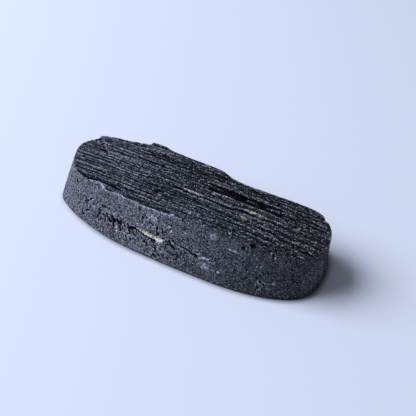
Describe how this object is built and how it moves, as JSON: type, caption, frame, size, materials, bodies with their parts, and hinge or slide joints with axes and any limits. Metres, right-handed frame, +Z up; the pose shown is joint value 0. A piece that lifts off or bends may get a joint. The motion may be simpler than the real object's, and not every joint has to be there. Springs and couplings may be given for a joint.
{
  "type": "tourmaline crystal",
  "caption": "Black tourmaline crystal ground to a long oval, with a raw striated top face, a thin pale seam in the cracked front wall and a flat underside.",
  "frame": {"origin": "middle of the bounding box on the flat underside, where the stone rests", "axes": "+X along the length and the striations, from the sloping end to the upright end, +Y from the cracked front wall to the back, +Z up from the underside through the striated face"},
  "size_m": [0.0471, 0.0169, 0.009],
  "materials": {
    "schorl": "dark bluish grey: matte and finely pitted on the ground wall, satin and striated on the raw face"
  },
  "bodies": {
    "root": {"tourmaline_crystal": "schorl"}
  },
  "joints": []
}
